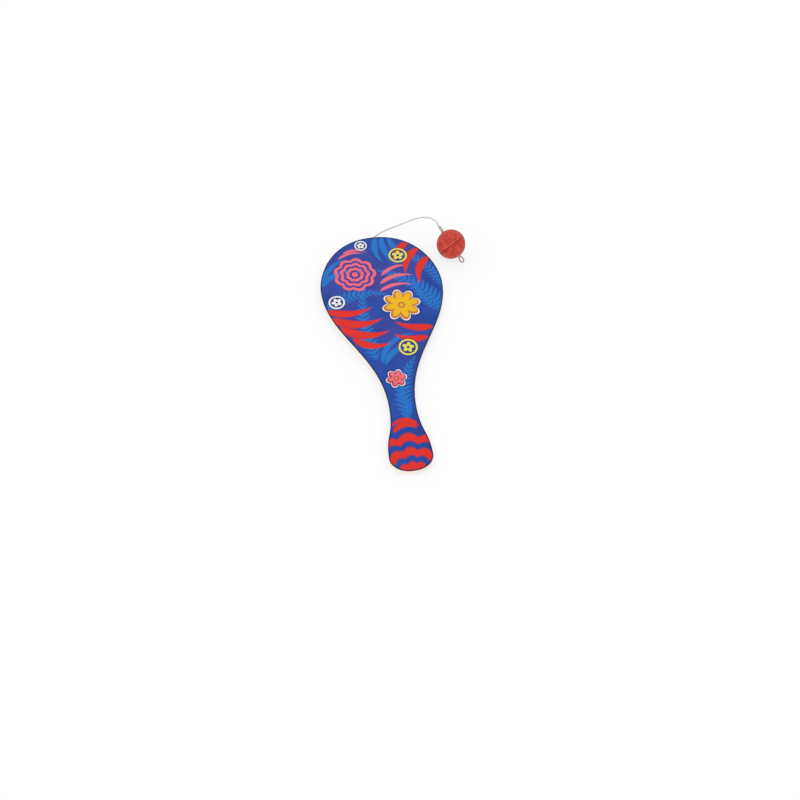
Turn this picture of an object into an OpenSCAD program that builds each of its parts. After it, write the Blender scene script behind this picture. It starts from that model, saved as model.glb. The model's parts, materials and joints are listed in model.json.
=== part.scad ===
// Paddle ball game: a printed plywood paddle with a sponge rubber ball on an elastic.
// The paddle lies printed face up, +Y from the handle to the blade. It rests on the end
// of its handle and on the crown of the staple that holds the elastic to its back, so it
// is tilted by half a degree. The ball lies on the table beside it.
// The origin is on the table, under the middle of the paddle and the ball together.

/* [Paddle outline] */
// Length of the paddle, from the top of the blade to the end of the handle
paddle_l = 235; // [210:1:260]
// Greatest width of the blade
blade_w = 107.7; // [95:0.1:120]
// Distance from the top of the blade down to its widest place
widest_down = 57; // [50:0.5:64]
// Width of the handle at its narrowest place
waist_w = 22; // [18:0.5:28]
// Distance from the end of the handle up to its narrowest place
waist_up = 55.5; // [48:0.5:64]
// Greatest width of the rounded end of the handle
grip_w = 34.4; // [30:0.1:40]
// Distance from the end of the handle up to that width
grip_up = 12; // [9:0.5:16]

/* [Plywood and print] */
// Thickness of the veneer on each side
veneer_t = 0.8; // [0.6:0.1:1.2]
// Thickness of the core between the veneers
core_t = 2.4; // [2:0.1:4]
// Thickness of the printed paper
print_t = 0.15; // [0.1:0.05:0.3]
// Bare wood left round the edge of the print
print_margin = 0.3; // [0.1:0.1:2]

/* [Staple] */
// Distance from the top of the blade down to the staple
staple_down = 67.3; // [55:0.1:80]
// Length of the staple's crown, measured outside
crown_l = 10; // [7:0.5:13]
// Width of the flat staple wire
wire_w = 1.2; // [0.8:0.1:1.6]
// Thickness of the flat staple wire
wire_t = 0.6; // [0.4:0.1:0.8]
// Length of each leg, measured from the back of the board
leg_l = 2.8; // [2:0.1:3.4]
// Length of the chisel point on each leg
point_l = 0.7; // [0.4:0.1:1]

/* [Elastic] */
// Diameter of the elastic
elastic_d = 1.2; // [0.8:0.1:1.4]
// Thickness of the elastic where the staple squeezes it
squeezed_t = 0.9; // [0.7:0.05:1.2]
// Length of the cut end that sticks out past the staple
cut_end_l = 5; // [3:0.5:8]
// Length of elastic that is held straight beside the staple
held_l = 1; // [0.6:0.1:2]
// Length of the first free stretch, which bends sideways where the staple lets go
exit_l = 4; // [3:0.5:6]

/* [Ball] */
// Diameter of the ball
ball_d = 26; // [22:0.5:30]
// Diameter of the hole through the ball
bore_d = 2.8; // [2.8:0.1:4]
// Radius of the rounded rim where the hole meets the outside
mouth_r = 0.5; // [0.3:0.1:1]
// Height of the thin ridge that the two mould halves leave round the ball
flash_h = 0.3; // [0.2:0.05:0.5]
// Distance of the ball from the staple across the paddle
ball_x = 67.7; // [66:0.1:90]
// Distance of the ball from the staple along the paddle
ball_y = 44.3; // [40:0.1:70]
// Angle by which the hole climbs towards the elastic
ball_tilt = 32; // [20:1:40]
// Direction of the hole seen from above, turned from +X
ball_turn = 127; // [115:1:140]

/* [Loop at the ball] */
// Gap between the two strands in the hole
strand_gap = 0.1; // [0.05:0.05:0.2]
// Length of the loop that sticks out of the ball
loop_l = 7; // [4:0.5:10]
// Width of the loop, measured outside
loop_w = 4.6; // [4:0.1:6]
// Length of the loose end that lies beside the elastic
loose_end_l = 6; // [3:0.5:8]
// Length of elastic that leaves the hole straight
lead_l = 5; // [4:0.5:7]
// Turn of the two strands about the hole
strand_roll = -34; // [-60:1:60]

/* [Hidden] */
$fn = 64;
fit_gap = 0.02;         // play of the legs in the wood, and of the elastic at its bends
clear_gap = 0.05;       // room between the free elastic and the back of the board
sides = 8;              // sides of the elastic's tube
curve_steps = 20;       // steps along each curve of the outline
route_steps = 3;        // steps between two points of the elastic's route

board_t = 2 * veneer_t + core_t;
back_z = wire_t + squeezed_t;            // back of the board above the staple's crown
face_z = back_z + board_t;               // printed side of the wood
elastic_r = elastic_d / 2;
ball_r = ball_d / 2;
bore_r = bore_d / 2;
strand_off = elastic_r + strand_gap / 2; // of each strand from the axis of the hole
exit_z = back_z - elastic_r - clear_gap; // height of the elastic beside the staple
held_end = wire_w / 2 + held_l;          // where the staple's hold on the elastic ends
swing_y = held_end + elastic_r + fit_gap; // centre of the sideways bend
drop_y = swing_y + exit_l;               // centre of the bend away from the board

// The paddle turns about the lower edge of the crown until its handle is on the table
pivot_y = -wire_w / 2;
handle_reach = paddle_l - staple_down + pivot_y;
rest_tilt = atan(back_z / handle_reach);
rest_top = pivot_y + (staple_down - pivot_y) * cos(rest_tilt) - back_z * sin(rest_tilt);
rest_end = pivot_y - handle_reach * cos(rest_tilt) - face_z * sin(rest_tilt);

// Where the origin lies, measured from the staple
origin_x = (ball_x + ball_r - blade_w / 2) / 2;
origin_y = (rest_top + rest_end) / 2;

// Shares of each step of the outline that its curve leaves and arrives straight
top_share = 0.76;
shoulder_share = 0.32;
cheek_share = 0.39;
neck_share = 0.41;
flare_share = 0.58;
palm_share = 0.5;
corner_share = 0.3;
end_share = 0.78;

// The loop beyond the ball: shares of its length, of its half width, and of the
// strands' distance in the hole
loop_shares = [[0, 0, 1], [0.35, 0.8, 0.2], [0.75, 0.9, 0], [1, 0, 0],
               [0.75, -0.9, 0], [0.35, -0.8, -0.2], [0, 0, -1]];

// The elastic's route from the first free stretch to the ball, measured from the
// staple: across, along, and how high it is lifted off the table
route = [[0, 10, 0.1], [-1, 16, 0], [-4, 25, 0], [-8, 34, 0], [-11, 43, 0], [-12, 52, 0],
         [-9.5, 61, 0], [-4, 68.5, 0], [2, 73, 0], [9, 77.8, 0], [16, 81, 0.2],
         [23, 82.8, 1.2], [29.5, 82.8, 3.6], [35.5, 82, 7.2], [41.5, 79.8, 11.8],
         [47, 76, 16.4], [51.5, 71, 20.4], [54.3, 66, 22.8], [56.6, 60.8, 23.8]];

function unit(v) = v / norm(v);

// A point at share t along the curve from a, which it leaves along ta, to b along tb
function curve_point(a, ta, b, tb, t) =
    pow(1 - t, 3) * a + 3 * pow(1 - t, 2) * t * (a + ta)
    + 3 * (1 - t) * pow(t, 2) * (b - tb) + pow(t, 3) * b;

function curve(a, ta, b, tb) =
    [for (i = [0 : curve_steps - 1]) curve_point(a, ta, b, tb, i / curve_steps)];

// The right half of the outline, in four curves from the top of the blade to the end
function half_outline(inset) =
    let (top = [0, staple_down - inset],
         widest = [blade_w / 2 - inset, staple_down - widest_down],
         waist = [waist_w / 2 - inset, staple_down - paddle_l + waist_up],
         grip = [grip_w / 2 - inset, staple_down - paddle_l + grip_up],
         end = [0, staple_down - paddle_l + inset],
         dome = top.y - widest.y, side = widest.y - waist.y,
         flare = waist.y - grip.y, palm = grip.y - end.y)
    concat(curve(top, [widest.x * top_share, 0], widest, [0, -dome * shoulder_share]),
           curve(widest, [0, -side * cheek_share], waist, [0, -side * neck_share]),
           curve(waist, [0, -flare * flare_share], grip, [0, -flare * palm_share]),
           curve(grip, [0, -palm * corner_share], end, [-grip.x * end_share, 0]),
           [end]);

function outline(inset) =
    let (half = half_outline(inset), last = len(half) - 1)
    concat(half, [for (i = [last - 1 : -1 : 1]) [-half[i].x, half[i].y]]);

// A point at share t of the way from b to c on the smooth line through a, b, c and d
function smooth_point(a, b, c, d, t) =
    b + ((c - a) * t + (2 * a - 5 * b + 4 * c - d) * pow(t, 2)
         + (3 * b - a - 3 * c + d) * pow(t, 3)) / 2;

function smooth(points, steps) =
    let (last = len(points) - 1,
         ends = concat([2 * points[0] - points[1]], points,
                       [2 * points[last] - points[last - 1]]))
    concat([for (i = [0 : last - 1], k = [0 : steps - 1])
            smooth_point(ends[i], ends[i + 1], ends[i + 2], ends[i + 3], k / steps)],
           [points[last]]);

function heading(path, i) =
    unit(path[min(i + 1, len(path) - 1)] - path[max(i - 1, 0)]);

// A ring of points round p, square to dir: wide across, tall towards up
function ring(p, dir, up, wide, tall) =
    let (side = unit(cross(dir, up)), rise = cross(side, dir))
    [for (k = [0 : sides - 1]) p + side * wide * cos(360 * k / sides)
                                 + rise * tall * sin(360 * k / sides)];

// A closed tube along a path, with the half width and half height at each point
module tube(path, half_sizes, up) {
    last = len(path) - 1;
    points = [for (i = [0 : last])
              each ring(path[i], heading(path, i), up, half_sizes[i].x, half_sizes[i].y)];
    walls = [for (i = [0 : last - 1], k = [0 : sides - 1])
             let (a = i * sides + k, b = i * sides + (k + 1) % sides)
             each [[a, b, a + sides], [b, b + sides, a + sides]]];
    caps = [for (k = [1 : sides - 2])
            each [[0, k + 1, k],
                  [last * sides, last * sides + k, last * sides + k + 1]]];
    polyhedron(points, concat(walls, caps));
}

module round_tube(path, up) {
    tube(path, [for (p = path) [elastic_r, elastic_r]], up);
}

// Everything is drawn from the staple, and then moved to the part's own origin
module from_staple() {
    translate([-origin_x, -origin_y, 0]) children();
}

// The paddle and what is fixed to it, tilted as it rests on the table
module at_rest() {
    from_staple()
        translate([0, pivot_y, 0])
            rotate([rest_tilt, 0, 0])
                translate([0, -pivot_y, 0])
                    children();
}

// Turns X into the axis of the ball's hole, with the strands side by side along Y
module at_ball() {
    translate([ball_x, ball_y, ball_r])
        rotate([0, 0, ball_turn])
            rotate([0, -ball_tilt, 0])
                rotate([strand_roll, 0, 0])
                    children();
}

// The same turn for a single point of the route
function turned(p, angle, axis) =
    axis == "x" ? [p.x, p.y * cos(angle) - p.z * sin(angle), p.y * sin(angle) + p.z * cos(angle)]
    : axis == "y" ? [p.x * cos(angle) + p.z * sin(angle), p.y, p.z * cos(angle) - p.x * sin(angle)]
    : [p.x * cos(angle) - p.y * sin(angle), p.x * sin(angle) + p.y * cos(angle), p.z];

function at_rest_point(p) = [0, pivot_y, 0] + turned(p - [0, pivot_y, 0], rest_tilt, "x");

function from_ball(p) =
    [ball_x, ball_y, ball_r]
    + turned(turned(turned(p, strand_roll, "x"), -ball_tilt, "y"), ball_turn, "z");

// The two legs, or with play the slots that they have pressed into the wood
module legs(play) {
    for (end = [-1, 1])
        translate([end * (crown_l - wire_t) / 2, 0, 0])
            rotate([90, 0, 0])
                linear_extrude(height = wire_w + 2 * play, center = true)
                    polygon([[-wire_t / 2 - play, 0],
                             [wire_t / 2 + play, 0],
                             [wire_t / 2 + play, back_z + leg_l - (end > 0 ? point_l : 0) + play],
                             [-wire_t / 2 - play, back_z + leg_l - (end < 0 ? point_l : 0) + play]]);
}

module ply(bottom, thickness) {
    at_rest()
        difference() {
            translate([0, 0, bottom])
                linear_extrude(height = thickness)
                    polygon(outline(0));
            legs(fit_gap);
        }
}

module back_ply() {
    color("#e8d3a6") ply(back_z, veneer_t);
}

module core_ply() {
    color("#d9bf8c") ply(back_z + veneer_t, core_t);
}

module face_ply() {
    color("#efddb4") ply(face_z - veneer_t, veneer_t);
}

module print_film() {
    color("#3450a4")
        at_rest()
            translate([0, 0, face_z])
                linear_extrude(height = print_t)
                    polygon(outline(print_margin));
}

module staple() {
    color("silver")
        at_rest() {
            translate([0, 0, wire_t / 2])
                cube([crown_l - 2 * wire_t, wire_w, wire_t], center = true);
            legs(0);
        }
}

// The end of the elastic that the staple squeezes against the board
module elastic_anchor() {
    pressed_w = elastic_r * elastic_d / squeezed_t;
    pressed = [pressed_w, squeezed_t / 2];
    free = [elastic_r, elastic_r];
    half_w = wire_w / 2;
    pressed_z = wire_t + squeezed_t / 2;
    color("lightgray")
        at_rest()
            tube([[0, -half_w - cut_end_l, exit_z], [0, -half_w - held_l, exit_z],
                  [0, -half_w, pressed_z], [0, half_w, pressed_z], [0, held_end, exit_z]],
                 [free, free, pressed, pressed, free], [0, 0, 1]);
}

// The first free stretch, round where it bends sideways beside the staple
module elastic_exit() {
    color("lightgray")
        at_rest()
            translate([0, swing_y, exit_z]) {
                sphere(r = elastic_r);
                rotate([-90, 0, 0]) cylinder(r = elastic_r, h = exit_l);
            }
}

// The free elastic: it lies under the blade, comes out at the top and climbs to the ball
module elastic_cord() {
    path = concat([at_rest_point([0, drop_y, exit_z])],
                  [for (p = route) [p.x, p.y, elastic_r + p.z]],
                  [for (reach = [lead_l, lead_l / 2, 0])
                   from_ball([ball_r + reach, strand_off, 0])]);
    color("lightgray")
        from_staple()
            round_tube(smooth(path, route_steps), [0, 0, 1]);
}

// The elastic doubled through the ball: a loop on the far side, the loose end on the near
module elastic_bight() {
    side_w = (loop_w - elastic_d) / 2;
    path = concat([[ball_r, strand_off, 0], [0, strand_off, 0]],
                  [for (s = loop_shares) [-ball_r - s[0] * (loop_l - elastic_r),
                                          s[1] * side_w + s[2] * strand_off, 0]],
                  [[0, -strand_off, 0], [ball_r, -strand_off, 0],
                   [ball_r + loose_end_l, -strand_off, 0]]);
    color("lightgray")
        from_staple()
            at_ball()
                round_tube(smooth(path, route_steps), [0, 0, 1]);
}

// The ball in profile is turned about its hole, with a rounded rim at each mouth
module ball() {
    mouth_x = bore_r + mouth_r;
    mouth_y = sqrt(pow(ball_r - mouth_r, 2) - pow(mouth_x, 2));
    color("#cd483f")
        from_staple()
            at_ball()
                rotate([0, 90, 0])
                    rotate_extrude()
                        difference() {
                            intersection() {
                                union() {
                                    circle(r = ball_r);
                                    translate([ball_r, 0]) circle(r = flash_h);
                                }
                                translate([0, -ball_d]) square([ball_d, 2 * ball_d]);
                            }
                            translate([0, -ball_d]) square([bore_r, 2 * ball_d]);
                            for (end = [-1, 1])
                                difference() {
                                    translate([0, end > 0 ? mouth_y : -mouth_y - ball_d])
                                        square([mouth_x, ball_d]);
                                    translate([mouth_x, end * mouth_y]) circle(r = mouth_r);
                                }
                        }
}

face_ply();
core_ply();
back_ply();
print_film();
staple();
elastic_anchor();
elastic_exit();
elastic_cord();
elastic_bight();
ball();
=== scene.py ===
import json
import math
import bpy
import bmesh
from mathutils import Matrix, Quaternion, Vector
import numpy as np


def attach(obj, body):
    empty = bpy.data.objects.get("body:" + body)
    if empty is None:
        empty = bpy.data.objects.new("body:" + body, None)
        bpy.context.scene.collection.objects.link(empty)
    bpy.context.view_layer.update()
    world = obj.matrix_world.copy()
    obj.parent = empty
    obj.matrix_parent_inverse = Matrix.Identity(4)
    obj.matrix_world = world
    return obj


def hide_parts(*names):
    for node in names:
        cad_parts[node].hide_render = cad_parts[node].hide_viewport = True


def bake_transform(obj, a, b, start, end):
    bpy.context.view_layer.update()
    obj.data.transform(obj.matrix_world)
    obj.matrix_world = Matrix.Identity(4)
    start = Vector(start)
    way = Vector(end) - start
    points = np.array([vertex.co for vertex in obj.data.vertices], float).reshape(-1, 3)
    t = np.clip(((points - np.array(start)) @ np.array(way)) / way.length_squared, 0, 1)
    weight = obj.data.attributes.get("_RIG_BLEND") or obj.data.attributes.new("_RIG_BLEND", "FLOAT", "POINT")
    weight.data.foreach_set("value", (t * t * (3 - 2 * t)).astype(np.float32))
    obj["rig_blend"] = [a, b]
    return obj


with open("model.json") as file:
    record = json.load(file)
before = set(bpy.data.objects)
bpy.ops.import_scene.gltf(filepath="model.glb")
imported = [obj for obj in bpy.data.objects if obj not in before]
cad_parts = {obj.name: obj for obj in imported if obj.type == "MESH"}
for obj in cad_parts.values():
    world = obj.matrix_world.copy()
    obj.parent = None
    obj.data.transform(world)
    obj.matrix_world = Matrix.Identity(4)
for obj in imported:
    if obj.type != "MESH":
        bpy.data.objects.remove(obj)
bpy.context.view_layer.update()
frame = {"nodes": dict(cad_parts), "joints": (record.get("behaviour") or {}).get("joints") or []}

cadNodes = frame["nodes"]
print("frame: loaded", len(cadNodes), "nodes")

# Everything is measured in millimetres from the staple in the middle of the blade,
# and then moved to the part's own origin
mm = 0.001
layout = {
    "origin": (13.425, -50.2294, 0.0),
    "tiltAbout": (0.0, -0.6, 0.0),       # lower edge of the staple's crown
    "tilt": 0.51431,                     # degrees, until the handle rests on the table
    "backZ": 1.5,                        # back of the board, above that edge
}
toOrigin = Matrix.Scale(mm, 4) @ Matrix.Translation(-Vector(layout["origin"]))
tiltPoint = Vector(layout["tiltAbout"])
toPaddle = (toOrigin @ Matrix.Translation(tiltPoint)
            @ Matrix.Rotation(math.radians(layout["tilt"]), 4, "X")
            @ Matrix.Translation(-tiltPoint))


# sRGB hex to the linear colour that a shader takes
def toLinear(hexColour):
    parts = [int(hexColour[i:i + 2], 16) / 255 for i in (1, 3, 5)]
    return [p / 12.92 if p <= 0.04045 else ((p + 0.055) / 1.055) ** 2.4 for p in parts] + [1.0]


# Kinds of node that come up often
calc = "ShaderNodeMath"
vec = "ShaderNodeVectorMath"
mapRange = "ShaderNodeMapRange"
noise = "ShaderNodeTexNoise"
noiseLow = 0.3                           # most of a noise lies between these two
noiseHigh = 0.7


def addNode(tree, kind, inputs=None, output=0, **settings):
    node = tree.nodes.new(kind)
    for name, value in settings.items():
        setattr(node, name, value)
    for socket, value in (inputs or {}).items():
        if isinstance(value, bpy.types.NodeSocket):
            tree.links.new(value, node.inputs[socket])
        else:
            node.inputs[socket].default_value = value
    return node.outputs[output] if node.outputs else node


def newMaterial(name):
    material = bpy.data.materials.new(name)
    material.use_nodes = True
    material.node_tree.nodes.clear()
    return material, material.node_tree


# Ends a material with its surface; relief is the strength and the depth in mm
def addSurface(tree, colour, height, relief, values):
    bump = addNode(tree, "ShaderNodeBump", {"Height": height, "Strength": relief[0],
                                            "Distance": relief[1] * mm})
    surface = addNode(tree, "ShaderNodeBsdfPrincipled",
                      {"Base Color": colour, "Normal": bump, **values})
    addNode(tree, "ShaderNodeOutputMaterial", {0: surface})


def only(piece):
    bpy.ops.object.select_all(action="DESELECT")
    bpy.context.view_layer.objects.active = piece
    piece.select_set(True)


# Camera: the photograph's place, turn and lens

camera = {
    "place": (-55.522, -352.976, 452.209),
    "lookAt": (-1.198, -106.049, 5.65),
    "roll": 4.4843,
    "lens": 29.1876, "sensor": 36.0, "near": 0.01, "far": 20.0,
}
gaze = Vector(camera["lookAt"]) - Vector(camera["place"])
lensData = bpy.data.cameras.new("photo_camera")
lensData.lens = camera["lens"]
lensData.sensor_width = camera["sensor"]
lensData.clip_start = camera["near"]
lensData.clip_end = camera["far"]
photoCamera = bpy.data.objects.new("photo_camera", lensData)
bpy.context.scene.collection.objects.link(photoCamera)
photoCamera.rotation_mode = "QUATERNION"
photoCamera.location = toPaddle @ Vector(camera["place"])
photoCamera.rotation_quaternion = (toPaddle.to_quaternion() @ gaze.to_track_quat("-Z", "Y")
                                   @ Quaternion((0, 0, 1), math.radians(camera["roll"])))
bpy.context.scene.camera = photoCamera
print("camera: set")


# Elastic: a covered rubber thread, stapled at one end, doubled through the ball

elastic = {
    "radius": 0.6, "squeezed": 0.9, "exitZ": 0.85, "length": 0.158,
    "sides": 20, "routeSteps": 10, "bendSteps": 14,
    # place along the paddle and share of the squeeze, from the cut end past the staple
    "press": [(-5.6, 0.0), (-1.6, 0.0), (-1.1, 0.25), (-0.6, 0.9), (0.0, 1.0), (0.6, 0.9),
              (1.1, 0.25), (1.4, 0.0)],
    # each bend's piece, hinge, start and end along the paddle, and the bodies that it joins
    "bends": [("elastic_swing", 2.22, 1.2, 4.25, "paddle", "elastic_turn"),
              ("elastic_drop", 6.22, 4.25, 8.3, "elastic_turn", "elastic_tether")],
    "freeFrom": 8.0,                     # where the free thread begins
    "stretch": (6.0, 74.5),              # from the last hinge, the part that the pull draws
    # across, along, and how high it is lifted off the table
    "route": [(0, 10, 0.1), (-1, 16, 0), (-4, 25, 0), (-8, 34, 0), (-11, 43, 0), (-12, 52, 0),
              (-9.5, 61, 0), (-4, 68.5, 0), (2, 73, 0), (9, 77.8, 0), (16, 81, 0.2),
              (23, 82.8, 1.2), (29.5, 82.8, 3.6), (35.5, 82, 7.2), (41.5, 79.8, 11.8),
              (47, 76, 16.4), (51.5, 71, 20.4), (54.3, 66, 22.8), (56.6, 60.8, 23.8)],
    # out of the ball's hole, and how far the two strands lie from its axis
    "mouthReach": (5.0, 2.5, 0.0, -1.5), "strandOff": 0.65, "overlap": 0.3,
    "loop": 7.0, "loopWidth": 4.6, "looseEnd": 6.0,
    "loopShares": [(0, 0, 1), (0.35, 0.8, 0.2), (0.75, 0.9, 0), (1, 0, 0),
                   (0.75, -0.9, 0), (0.35, -0.8, -0.2), (0, 0, -1)],
    "cutCap": [(0.1, 0.93), (0.16, 0.8), (0.18, 0.4), (0.18, 0.0)],
    "roundCap": [(0.38, 0.92), (0.71, 0.71), (0.92, 0.38), (1.0, 0.0)],
}
ball = {
    "radius": 13.0, "place": (67.7, 44.3, 13.0),
    "tilt": 32.0, "turn": 127.0, "roll": -34.0,
    "boreRadius": 1.4, "mouthRadius": 0.5, "boreCuts": 24,
    # radius and fall of each step from the rim down into the hole
    "mouthSteps": [(1.62, 0.07), (1.46, 0.17), (1.4, 0.34), (1.4, 0.9)],
    "ridge": 0.24, "groove": 0.16, "seamFrom": 9.0,
    "segments": 224, "rings": 160,
    "dents": [("swell", "CLOUDS", 6.0, 0.05), ("pits", "VORONOI", 1.1, 0.1)],
    "pitEdge": (0.04, 0.34),
}
toBall = (toOrigin @ Matrix.Translation(Vector(ball["place"]))
          @ Matrix.Rotation(math.radians(ball["turn"]), 4, "Z")
          @ Matrix.Rotation(math.radians(-ball["tilt"]), 4, "Y")
          @ Matrix.Rotation(math.radians(ball["roll"]), 4, "X"))


# A smooth line through the points, with the ends carried on by reflection
def smoothLine(points, steps):
    line = [Vector(p) for p in points]
    line = [2 * line[0] - line[1]] + line + [2 * line[-1] - line[-2]]
    smooth = []
    for i in range(1, len(line) - 2):
        a, b, c, d = line[i - 1:i + 3]
        for k in range(steps):
            t = k / steps
            smooth.append(b + ((c - a) * t + (2 * a - 5 * b + 4 * c - d) * t ** 2
                               + (3 * b - a - 3 * c + d) * t ** 3) / 2)
    return smooth + [line[-2]]


# A closed tube along a line in metres; sizes are half widths across and up. Each of
# its points remembers the middle of its ring, and UV runs in mm along and once round.
def makeTube(name, line, sizes=None, startCap=None, endCap=None):
    sides = elastic["sides"]
    radius = elastic["radius"] * mm
    sizes = sizes or [(radius, radius)] * len(line)
    heads = [(line[min(i + 1, len(line) - 1)] - line[max(i - 1, 0)]).normalized()
             for i in range(len(line))]
    rings = [(p, h, wide, tall) for p, h, (wide, tall) in zip(line, heads, sizes)]
    for cap, atEnd in ((startCap, False), (endCap, True)):
        middle, head, wide, tall = rings[-1 if atEnd else 0]
        way = head if atEnd else -head
        for reach, share in cap or [(0.0, 0.0)]:
            ring = (middle + way * reach * radius, head, wide * share, tall * share)
            rings = rings + [ring] if atEnd else [ring] + rings
    shape = bmesh.new()
    loops, middles, along, run = [], [], [], 0.0
    for i, (middle, head, wide, tall) in enumerate(rings):
        across = head.cross(Vector((0, 0, 1))).normalized()
        rise = across.cross(head)
        run += (middle - rings[i - 1][0]).length if i else 0.0
        along.append(run / mm)
        loop = []
        for k in range(sides if wide > 0 else 1):
            turn = 2 * math.pi * k / sides
            loop.append(shape.verts.new(middle + across * wide * math.cos(turn)
                                        + rise * tall * math.sin(turn)))
            middles.append(middle)
        loops.append(loop)
    uv = shape.loops.layers.uv.new("along")
    for i in range(len(loops) - 1):
        a, b = loops[i], loops[i + 1]
        for k in range(sides):
            corners = [(a, k, i), (b, k, i + 1), (b, k + 1, i + 1), (a, k + 1, i)]
            if len(a) == 1:
                corners = corners[:3]
            if len(b) == 1:
                corners = [corners[0], corners[1], corners[3]]
            face = shape.faces.new([ring[j % len(ring)] for ring, j, _ in corners])
            face.smooth = True
            for corner, (_, j, at) in zip(face.loops, corners):
                corner[uv].uv = (along[at], j / sides)
    mesh = bpy.data.meshes.new(name)
    shape.to_mesh(mesh)
    shape.free()
    piece = bpy.data.objects.new(name, mesh)
    bpy.context.scene.collection.objects.link(piece)
    return piece, middles


def blendByRing(piece, middles, bodyA, bodyB, start, end):
    shape = [v.co.copy() for v in piece.data.vertices]
    for v, middle in zip(piece.data.vertices, middles):
        v.co = middle
    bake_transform(piece, bodyA, bodyB, start=start, end=end)
    for v, place in zip(piece.data.vertices, shape):
        v.co = place


# The thread's cut end and the part that the staple squeezes flat
thin = elastic["squeezed"] / 2
pressedZ = layout["backZ"] - thin
wider = elastic["radius"] ** 2 / thin
rootLine, rootSizes = [], []
for y, squeeze in elastic["press"]:
    rootLine.append(toPaddle @ Vector((0, y, elastic["exitZ"] * (1 - squeeze)
                                       + pressedZ * squeeze)))
    rootSizes.append(((elastic["radius"] * (1 - squeeze) + wider * squeeze) * mm,
                      (elastic["radius"] * (1 - squeeze) + thin * squeeze) * mm))
elasticRoot, _ = makeTube("elastic_root", rootLine, rootSizes, startCap=elastic["cutCap"],
                          endCap=elastic["roundCap"])
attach(elasticRoot, "paddle")
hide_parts("elastic_anchor")

# Two short bends beside the staple, one for each way that the thread turns there
elasticBends = []
steps = elastic["bendSteps"]
for name, hingeY, low, high, bodyA, bodyB in elastic["bends"]:
    line = [toPaddle @ Vector((0, low + (high - low) * k / steps, elastic["exitZ"]))
            for k in range(steps + 1)]
    bend, middles = makeTube(name, line, startCap=elastic["roundCap"],
                             endCap=elastic["roundCap"])
    blendByRing(bend, middles, bodyA, bodyB,
                toPaddle @ Vector((0, hingeY, elastic["exitZ"])),
                toPaddle @ Vector((0, high, elastic["exitZ"])))
    elasticBends.append(bend)
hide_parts("elastic_exit")

# The free thread, under the blade, out at the top and up to the ball
dropY = elastic["bends"][-1][1]          # the last hinge
dropPoint = toPaddle @ Vector((0, dropY, elastic["exitZ"]))
mouth = [toBall @ Vector((ball["radius"] + reach, elastic["strandOff"], 0))
         for reach in elastic["mouthReach"]]
freeRoute = ([dropPoint]
             + [toOrigin @ Vector((x, y, elastic["radius"] + lift))
                for x, y, lift in elastic["route"]] + mouth)
freeLine = smoothLine(freeRoute, elastic["routeSteps"])
firstShown = next(i for i, p in enumerate(freeLine)
                  if (p - dropPoint).length > (elastic["freeFrom"] - dropY) * mm)
elasticCord, cordMiddles = makeTube("elastic_cord_free", freeLine[firstShown:],
                                    startCap=elastic["roundCap"])
pullWay = Vector(next(j for j in frame["joints"] if j["name"] == "ball_pull")["axis"])
pullFrom, pullTo = (dropPoint + pullWay * reach * mm for reach in elastic["stretch"])
blendByRing(elasticCord, cordMiddles, "elastic_tether", "elastic_end", pullFrom, pullTo)
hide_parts("elastic_cord")

# Doubled through the ball: a loop on the far side, the loose end on the near side
loopHalf = elastic["loopWidth"] / 2 - elastic["radius"]
bightMarks = ([(ball["radius"] + elastic["overlap"], elastic["strandOff"]),
               (0, elastic["strandOff"])]
              + [(-ball["radius"] - s * (elastic["loop"] - elastic["radius"]),
                  h * loopHalf + d * elastic["strandOff"]) for s, h, d in elastic["loopShares"]]
              + [(0, -elastic["strandOff"]), (ball["radius"], -elastic["strandOff"]),
                 (ball["radius"] + elastic["looseEnd"], -elastic["strandOff"])])
bightLine = smoothLine([toBall @ Vector((x, y, 0)) for x, y in bightMarks],
                       elastic["routeSteps"])
elasticBight, _ = makeTube("elastic_loop", bightLine, startCap=elastic["roundCap"],
                           endCap=elastic["cutCap"])
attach(elasticBight, "elastic_end")
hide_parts("elastic_bight")

# Covered elastic: rubber wrapped in a braid of white yarn, with painted shade that greys the
# grooves between its strands; matt, with small diamonds. The end doubled through the ball
# has darker yarn and groove colours
braid = {"strands": 8, "pitch": 1.5, "raised": (-0.6, 0.7), "relief": (0.7, 0.06),
         "surface": {"Roughness": 0.8, "Sheen Weight": 0.2},
         "looks": [("braided yarn over rubber", "#aba6a6", "#dad6d5",
                    [elasticRoot, *elasticBends, elasticCord]),
                   # the end doubled through the ball is simply given darker yarn and groove colours
                   ("rubbed yarn over rubber", "#7f706b", "#b4a7a3", [elasticBight])]}
for name, grooveShadeInk, yarnInk, pieces in braid["looks"]:
    braidMaterial, tree = newMaterial(name)
    uvMap = addNode(tree, "ShaderNodeUVMap", uv_map="along")
    alongMm = addNode(tree, "ShaderNodeSeparateXYZ", {0: uvMap})
    aroundOnce = alongMm.node.outputs["Y"]
    waves = []
    for way in (1, -1):
        lead = addNode(tree, calc, {0: alongMm, 1: way / braid["pitch"]},
                       operation="MULTIPLY")
        turn = addNode(tree, calc, {0: aroundOnce, 1: braid["strands"] / 2, 2: lead},
                       operation="MULTIPLY_ADD")
        angle = addNode(tree, calc, {0: turn, 1: 2 * math.pi}, operation="MULTIPLY")
        waves.append(addNode(tree, calc, {0: angle}, operation="COSINE"))
    height = addNode(tree, calc, {0: waves[0], 1: waves[1]}, operation="MAXIMUM")
    yarn = addNode(tree, mapRange, {0: height, 1: braid["raised"][0],
                                    2: braid["raised"][1]})
    # the low grooves between the strands take the painted shade colour
    colour = addNode(tree, "ShaderNodeMix", {0: yarn, 6: toLinear(grooveShadeInk),
                                             7: toLinear(yarnInk)}, 2, data_type="RGBA")
    addSurface(tree, colour, height, braid["relief"], braid["surface"])
    for piece in pieces:
        piece.data.materials.append(braidMaterial)
print("elastic: made")


# Staple: one bent flat wire, driven into the back of the blade

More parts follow.
